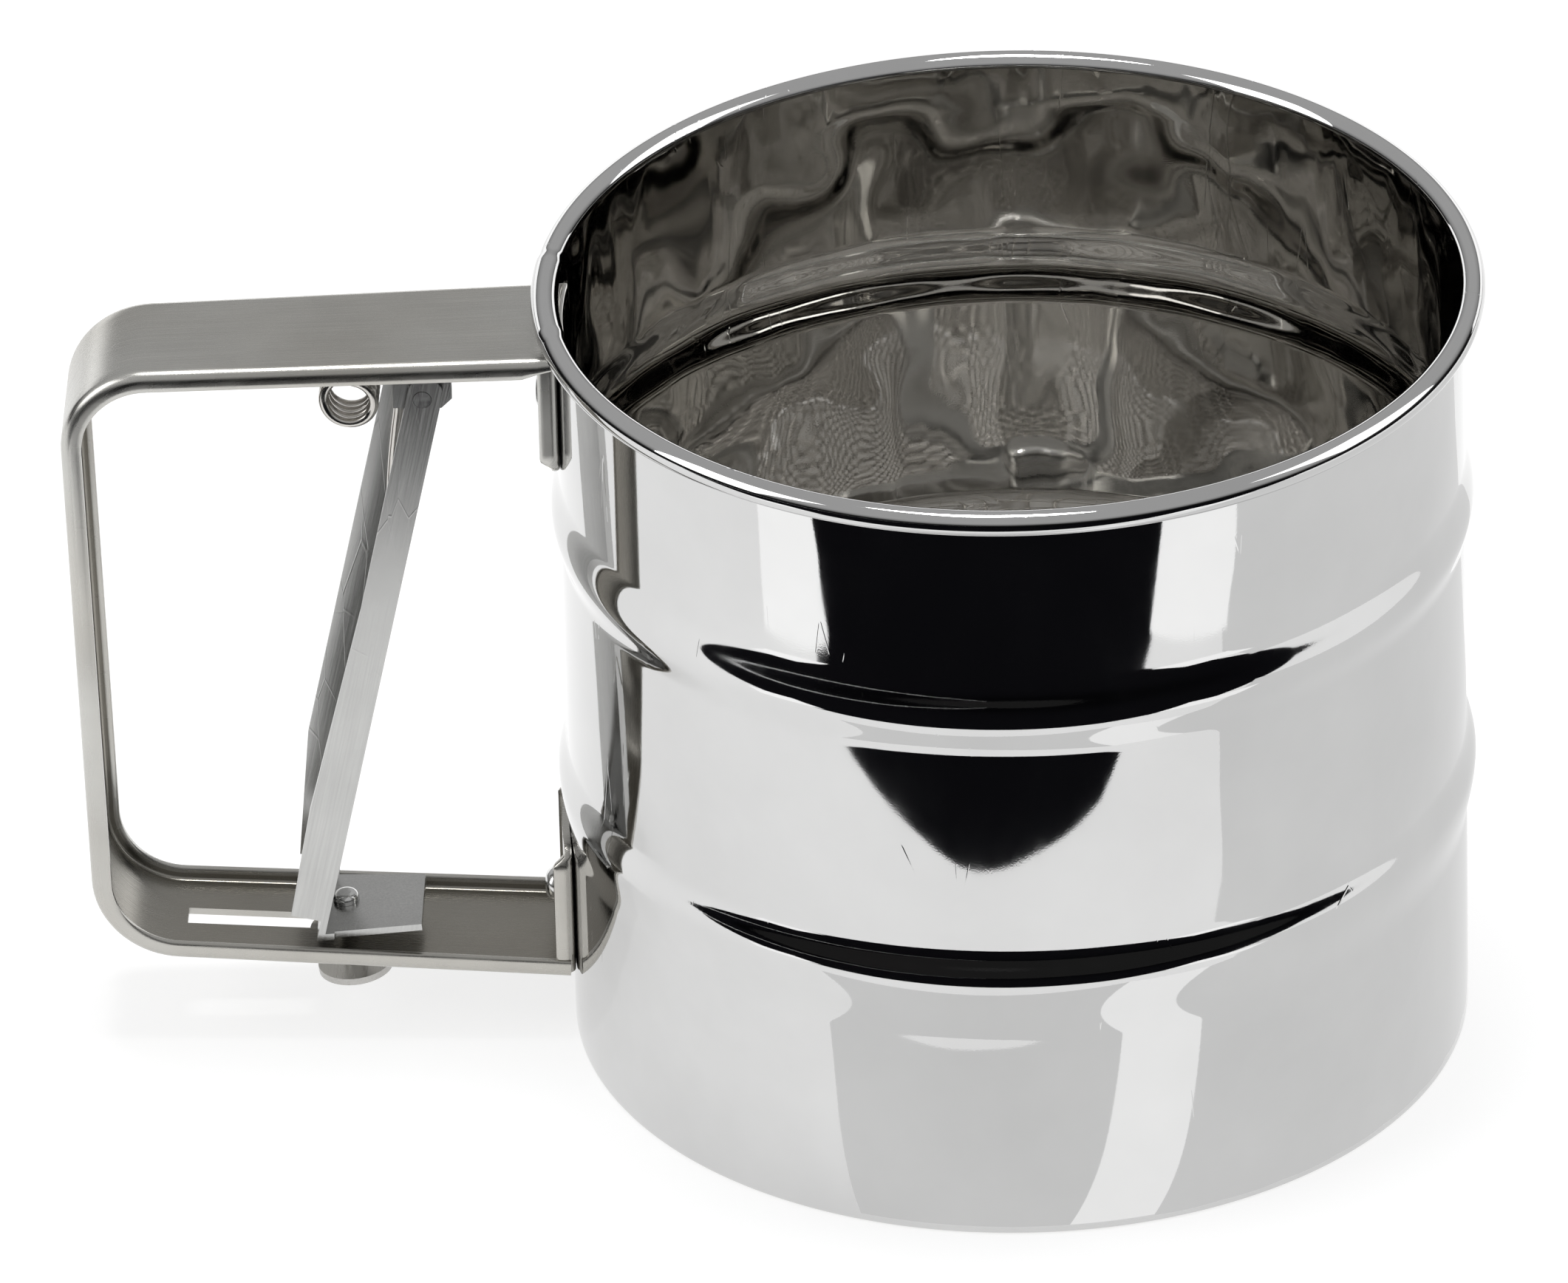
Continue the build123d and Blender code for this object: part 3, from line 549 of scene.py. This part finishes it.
# the long leg, as a smooth curve through its points that leaves the coil along the wire
ctrl = [path[-1]] + [Vector((pivot.x + a * MM, leg_y, pivot.z + b * MM)) for a, b in LONG_LEG]
for i in range(len(ctrl) - 1):
    p1, p2 = ctrl[i], ctrl[i + 1]
    p3 = ctrl[min(i + 2, len(ctrl) - 1)]
    if i == 0:
        p0 = p1 - (path[-1] - path[-2]).normalized() * (p2 - p1).length
    else:
        p0 = ctrl[i - 1]
    for k in range(1, 9):
        t = k / 8
        path.append(0.5 * ((2 * p1) + (p2 - p0) * t + (2 * p0 - 5 * p1 + 4 * p2 - p3) * t * t
                           + (3 * p1 - p0 - 3 * p2 + p3) * t ** 3))
spring = add_mesh("return_spring", *tube(path, SPRING_WIRE_R, 14), SPRING, "spring_wire",
                  body=None)
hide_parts("trigger_spring")
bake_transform(spring)

# ---- handle -------------------------------------------------------------------------
# The strip is a shallow channel. Its rail is the outer side in the side view: from the wall
# along the top leg, down the grip and back to the wall, with rounded corners.
STRIP = 0.8 * MM  # thickness
DEPTH = 2.3 * MM  # of the channel, over its lips
CORNER_R = 10 * MM
TOP_LEG, LOW_LEG = 54.6, 53.0  # the legs' lengths in mm
TOP_RISE, LOW_FALL = 2.15, 2.9  # how much they spread over those lengths, in mm
WALL_OUT = AXIS - 50 * MM
wall_x = WALL_OUT - 0.05 * MM
top_wall_z = 87.35 * MM
low_wall_z = 7.8 * MM
grip_top_x = WALL_OUT - TOP_LEG * MM
grip_low_x = WALL_OUT - LOW_LEG * MM


def top_z(x):
    return top_wall_z + TOP_RISE / TOP_LEG * (x - WALL_OUT)


def low_z(x):
    return low_wall_z - LOW_FALL / LOW_LEG * (x - WALL_OUT)


def half_width(x):
    """The strip narrows a little from the wall to the grip."""
    return (9.1 - 0.8 * min(max((WALL_OUT - x) / (TOP_LEG * MM), 0), 1.05)) * MM


def rounded(points, radius):
    """Points of a polyline in the side view with its inner corners rounded off."""
    per_corner = 18
    out = [Vector(points[0])]
    for i in range(1, len(points) - 1):
        p = Vector(points[i])
        a = (Vector(points[i - 1]) - p).normalized()
        b = (Vector(points[i + 1]) - p).normalized()
        half = a.angle(b) / 2
        reach = radius / tan(half)
        centre = p + (a + b).normalized() * (radius / sin(half))
        start, end = p + a * reach, p + b * reach
        v0, v1 = start - centre, end - centre
        turn = v0.angle(v1)
        for k in range(per_corner + 1):
            t = k / per_corner
            out.append(centre + (v0 * sin((1 - t) * turn) + v1 * sin(t * turn)) / sin(turn))
    out.append(Vector(points[-1]))
    return out


rail = rounded([(wall_x, top_z(wall_x)), (grip_top_x, top_z(grip_top_x)),
                (grip_low_x, low_z(grip_low_x)), (wall_x, low_z(wall_x))], CORNER_R)
dense = []
for a, b in zip(rail, rail[1:]):
    n = max(1, int((b - a).length / (1.6 * MM)))
    dense += [a.lerp(b, k / n) for k in range(n)]
rail = dense + [rail[-1]]


def section(half, lip):
    """The channel's closed section as points (across, depth)."""
    r_out = min(1.25 * MM, lip - 0.35 * MM)
    r_in = min(0.45 * MM, 0.4 * (lip - STRIP))
    soft = 0.01 * MM + 0.25 * min(lip - STRIP, MM)  # rounding of the lip's end
    sweep = [radians(15 * k) for k in range(7)]
    outer_pts = [(0, 0), (half * 0.35, 0.0), (half * 0.7, 0.0)]
    outer_pts += [(half - r_out + r_out * sin(a), r_out - r_out * cos(a)) for a in sweep]
    outer_pts.append((half, (r_out + lip - soft) / 2))
    lip_pts = [(half, lip - soft), (half - 0.5 * soft, lip - 0.15 * soft),
               (half - STRIP / 2, lip), (half - STRIP + 0.5 * soft, lip - 0.15 * soft),
               (half - STRIP, lip - soft)]
    inner_pts = [(half - STRIP, (lip - soft + STRIP + r_in) / 2)]
    inner_pts += [(half - STRIP - r_in + r_in * sin(a), STRIP + r_in - r_in * cos(a))
                  for a in reversed(sweep)]
    inner_pts += [(half * 0.7, STRIP), (half * 0.35, STRIP), (0, STRIP)]
    near = outer_pts + lip_pts + inner_pts
    return near + [(-y, d) for y, d in reversed(near[1:-1])]


SECTION_POINTS = len(section(half_width(wall_x), DEPTH))
INNER_FROM = 16  # where the points of the inner side start, and as many from the end
UV_PER_METRE = 100


def strip_mesh(name, verts, rows, along):
    """A mesh over rows of sections, with UVs that run along the strip for its grain."""
    mesh = new_mesh(name, verts, grid_faces(rows, SECTION_POINTS))
    layer = mesh.uv_layers.new(name="UVMap")
    for loop in mesh.loops:
        i = loop.vertex_index
        layer.data[loop.index].uv = (
            along[i // SECTION_POINTS] * UV_PER_METRE, verts[i].y * UV_PER_METRE)
    for poly in mesh.polygons:
        poly.use_smooth = len(poly.vertices) == 4
    return mesh


def handle_mesh():
    verts, along = [], []
    run = 0.0
    for i, p in enumerate(rail):
        a = rail[max(i - 1, 0)]
        b = rail[min(i + 1, len(rail) - 1)]
        t = (b - a).normalized()
        inward = Vector((-t.y, t.x))  # into the loop: the rail runs anticlockwise
        if i:
            run += (p - rail[i - 1]).length
        along.append(run)
        lip = DEPTH
        if p.y > 50 * MM:  # the top leg's lips run out at the wall
            lip -= 1.0 * MM * ease((p.x - (wall_x - 3.6 * MM)) / (3.6 * MM))
        for y, d in section(half_width(p.x), lip):
            q = p + inward * d
            verts.append(Vector((q.x, y, q.y)))
    return strip_mesh("handle_channel", verts, len(rail), along)


hmesh = handle_mesh()
# painted shade: the channel's inner faces take the darker copy of the strip steel
for poly in hmesh.polygons:
    ks = [v % SECTION_POINTS for v in poly.vertices]
    if len(ks) == 4 and all(INNER_FROM <= k <= SECTION_POINTS - INNER_FROM for k in ks):
        poly.material_index = 1
handle = link_mesh("handle_channel", hmesh)
hmesh.materials.append(HANDLE)
hmesh.materials.append(HANDLE_PAINTED_SHADE)


SHARP = radians(35)  # edges that turn further than this stay crisp


def cutter(name, verts, faces):
    mesh = new_mesh(name, verts, faces)
    face_outwards(mesh)
    return link_mesh(name, mesh)


def cut(obj, tool):
    """Applies a boolean difference and removes the tool."""
    mod = obj.modifiers.new("cut", "BOOLEAN")
    mod.object = tool
    mod.operation = "DIFFERENCE"
    mod.solver = "EXACT"
    bpy.context.view_layer.update()
    depsgraph = bpy.context.evaluated_depsgraph_get()
    result = bpy.data.meshes.new_from_object(obj.evaluated_get(depsgraph))
    obj.modifiers.clear()
    old = obj.data
    obj.data = result
    bpy.data.meshes.remove(old)
    bpy.data.objects.remove(tool)


def prism(outline, z0, z1):
    n = len(outline)
    verts = [(x, y, z0) for x, y in outline] + [(x, y, z1) for x, y in outline]
    faces = [tuple(range(n))[::-1], tuple(range(n, 2 * n))]
    faces += [(k, (k + 1) % n, n + (k + 1) % n, n + k) for k in range(n)]
    return verts, faces


# the slot for the foot rivet, round at the end by the cup
SLOT_X = (AXIS - 93.1 * MM, AXIS - 72.8 * MM)
SLOT_HALF = 1.6 * MM
slot_outline = []
for k in range(13):
    a = radians(-90 + 15 * k)
    slot_outline.append((SLOT_X[1] - SLOT_HALF + SLOT_HALF * cos(a), SLOT_HALF * sin(a)))
slot_outline += [(SLOT_X[0], SLOT_HALF), (SLOT_X[0], -SLOT_HALF)]
cut(handle, cutter("slot_tool", *prism(slot_outline, 0.0, 20 * MM)))
handle.data.set_sharp_from_angle(angle=SHARP)
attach(handle, "root")

TAB_HALF = 8.8 * MM  # half of a tab's width
TAB_CORNER = 3 * MM
TAB_R = 50.06 * MM  # radius that the tabs lie on, about the cup's axis
TAB_ROWS = 40


def tab_mesh(name, z_start, z_end):
    """A tab bent against the wall, with rounded free corners and the channel's lips."""
    height = abs(z_end - z_start)
    verts, along = [], []
    for i in range(TAB_ROWS + 1):
        h = height * i / TAB_ROWS
        free = height - h
        short = min(max(TAB_CORNER - free, 0), 2.98 * MM)  # how far into the free corners
        w = TAB_HALF - (TAB_CORNER - sqrt(TAB_CORNER ** 2 - short ** 2))
        lip = STRIP * 1.06 + (DEPTH - STRIP * 1.06) * ease((free - 0.9 * MM) / (1.5 * MM))
        z = z_start + h if z_end > z_start else z_start - h
        along.append(h)
        for y, d in section(w, lip):
            base = sqrt(TAB_R * TAB_R - min(abs(y), TAB_HALF) ** 2)
            verts.append(Vector((AXIS - base - d, y, z)))
    mesh = strip_mesh(name, verts, TAB_ROWS + 1, along)
    face_outwards(mesh)
    mesh.set_sharp_from_angle(angle=SHARP)
    mesh.materials.append(HANDLE)
    obj = link_mesh(name, mesh)
    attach(obj, "root")


tab_mesh("upper_tab", top_wall_z - 0.7 * MM, top_wall_z - 15.3 * MM)
tab_mesh("lower_tab", low_wall_z + 0.7 * MM, low_wall_z + 16.6 * MM)
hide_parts("handle_strip")

# ---- floor, light and camera --------------------------------------------------------
def plane(name, corners, mat):
    mesh = new_mesh(name, [Vector(c) for c in corners], [tuple(range(len(corners)))])
    mesh.materials.append(mat)
    obj = link_mesh(name, mesh)
    return obj


def stage_material(name, base, rough, specular, glow=(1, 1, 1), strength=0.0):
    mat, tree, bsdf = new_material(name)
    bsdf.inputs["Base Color"].default_value = (*base, 1)
    bsdf.inputs["Roughness"].default_value = rough
    bsdf.inputs["Specular IOR Level"].default_value = specular
    bsdf.inputs["Emission Color"].default_value = (*glow, 1)
    bsdf.inputs["Emission Strength"].default_value = strength
    return mat


FAR = 6  # metres: where the floor and the dark room end
floor_mat = stage_material("floor_white", grey(0.36), 0.8, 0.1, strength=0.72)
plane("floor", [(x, y, -0.0002) for x, y in ((-FAR, -FAR), (FAR, -FAR), (FAR, FAR), (-FAR, FAR))],
      floor_mat)

# under the cup the same floor lies in the cup's own shade and hardly glows
shade_mat = stage_material("floor_in_shade", (0.5, 0.49, 0.47), 0.8, 0.5, (1, 0.97, 0.92), 0.13)
SHADE_R = 49.2 * MM
plane("floor_under_cup",
      [(AXIS + SHADE_R * cos(2 * pi * k / 96), SHADE_R * sin(2 * pi * k / 96), 0.00005)
       for k in range(96)], shade_mat)

dark_mat = stage_material("studio_dark", (0.004, 0.004, 0.005), 1.0, 0.0)


def reflected_only(obj):
    obj.visible_camera = False
    obj.visible_diffuse = False
    obj.visible_shadow = False
    obj.visible_transmission = False


DARK_Z = 0.0004
CARD_Z = 0.0006
SIDE = 0.62  # metres: the sheet's side edges, left and right

# The white sheet ends in front of the sifter and to its sides, and the studio beyond it is
# dark. Only reflections see that.
front = [(-SIDE, -0.15), (-0.08, -0.122), (0.0, -0.128), (0.045, -0.1325), (0.1, -0.151),
         (SIDE, -0.24)]  # the sheet's front edge, from the cup's axis
for i, ((xa, ya), (xb, yb)) in enumerate(zip(front, front[1:])):
    reflected_only(plane(f"dark_front_{i}", [
        (AXIS + xa, ya, DARK_Z), (AXIS + xa, -FAR, DARK_Z), (AXIS + xb, -FAR, DARK_Z),
        (AXIS + xb, yb, DARK_Z)], dark_mat))
for name, near, far in (("dark_left", -SIDE, -FAR), ("dark_right", SIDE, FAR)):
    reflected_only(plane(name, [
        (near, -FAR, DARK_Z), (far, -FAR, DARK_Z), (far, FAR, DARK_Z), (near, FAR, DARK_Z)],
        dark_mat))


def card(name, strength, corners, z=CARD_Z):
    """A glowing shape of painted light, or of painted shade where it glows less than the sheet,
    that only reflections see; its corners are from the cup's axis.
    """
    mat = stage_material(name, grey(0), 1.0, 0.0, strength=strength)
    placed = [(AXIS + c[0], c[1], c[2] if len(c) > 2 else z) for c in corners]
    reflected_only(plane(name, placed, mat))


def foot(start, end):
    """Corners just outside the cup's foot, from one angle to another in degrees."""
    steps = 14
    r = WALL + SHEET + 0.4 * MM
    turns = [radians(start + (end - start) * k / steps) for k in range(steps + 1)]
    return [(r * cos(a), r * sin(a)) for a in turns]


# painted highlights and painted shade, seen only in reflections: glowing cards make the sheet
# look brighter at its front corners and in one band by the cup's foot, and darker beside that
# band and to the right
card("bright_corner_left", 1.4, [
    (-0.185, -0.112), (-0.165, -0.15), (-0.109, -0.131), (-0.137, -0.096)])
card("bright_corner_right", 1.35, [
    (0.185, -0.125), (0.15, -0.185), (0.088, -0.149), (0.128, -0.11)])
card("bright_band", 1.24, [(0.060, -0.078), (0.037, -0.093)] + foot(-83, -72))
card("dull_band", 0.86, [(0.037, -0.093), (-0.0586, -0.0786)] + foot(-110, -83))
card("dull_right", 0.88, [
    (0.060, -0.078), (0.078, -0.083), (0.105, -0.102), (0.30, -0.2), (0.30, 0.3)]
    + foot(56, -72), z=0.0005)
# the sheet sweeps up behind
card("sweep", 1.4, [(-1.3, 1.2, 0), (1.3, 1.2, 0), (1.3, 1.35, 0.36), (-1.3, 1.35, 0.36)])

world = bpy.data.worlds.new("studio")
SCENE.world = world
world.use_nodes = True
tree = world.node_tree
tree.nodes.clear()
out = tree.nodes.new("ShaderNodeOutputWorld")
back = tree.nodes.new("ShaderNodeBackground")
direction = tree.nodes.new("ShaderNodeTexCoord").outputs["Generated"]
split = tree.nodes.new("ShaderNodeSeparateXYZ")
tree.links.new(direction, split.inputs[0])
# dark near the horizon, rising to a soft grey ceiling
height = to_range(tree, split.outputs["Z"], 0.10, 0.45, 0.0, 1.0)
sky = ramp(tree, height, [(0.0, grey(0.015)), (0.5, grey(0.34)), (1.0, grey(0.48))])
tree.links.new(sky, back.inputs["Color"])
back.inputs["Strength"].default_value = 1.0
tree.links.new(back.outputs["Background"], out.inputs["Surface"])


def area_light(name, at, size, power):
    light = bpy.data.lights.new(name, "AREA")
    light.shape = "RECTANGLE"
    light.size, light.size_y = size
    light.energy = power
    obj = bpy.data.objects.new(name, light)
    SCENE.collection.objects.link(obj)
    obj.location = at
    aim = Vector((0, 0, 0.05)) - Vector(at)
    obj.rotation_euler = aim.to_track_quat("-Z", "Y").to_euler()


area_light("soft_left", (-1.35, -0.45, 0.85), (0.9, 1.2), 8)
area_light("soft_right", (1.4, 0.2, 0.95), (1.0, 1.2), 6.5)
area_light("overhead", (-0.05, 0.1, 1.7), (0.5, 0.5), 13)

# the camera looks down on a point by the handle's side of the cup, from a little to the right
TARGET = Vector((AXIS - 25.624 * MM, 0, 46.125 * MM))
DISTANCE = 2.2
AZIMUTH, RISE, ROLL = radians(2.2), radians(30.735), radians(-1.480)
back_dir = Vector((sin(AZIMUTH) * cos(RISE), -cos(AZIMUTH) * cos(RISE), sin(RISE)))
level_right = Vector((cos(AZIMUTH), sin(AZIMUTH), 0))
level_up = back_dir.cross(level_right)
right = cos(ROLL) * level_right + sin(ROLL) * level_up
up = -sin(ROLL) * level_right + cos(ROLL) * level_up
at = TARGET + DISTANCE * back_dir
camera_data = bpy.data.cameras.new("camera")
camera_data.sensor_width = 36
camera_data.lens = 455.35
camera_data.clip_end = 30
camera = bpy.data.objects.new("camera", camera_data)
SCENE.collection.objects.link(camera)
camera.matrix_world = Matrix((
    (right.x, up.x, back_dir.x, at.x), (right.y, up.y, back_dir.y, at.y),
    (right.z, up.z, back_dir.z, at.z), (0, 0, 0, 1)))
SCENE.camera = camera
SCENE.view_settings.view_transform = "Standard"
SCENE.view_settings.look = "None"
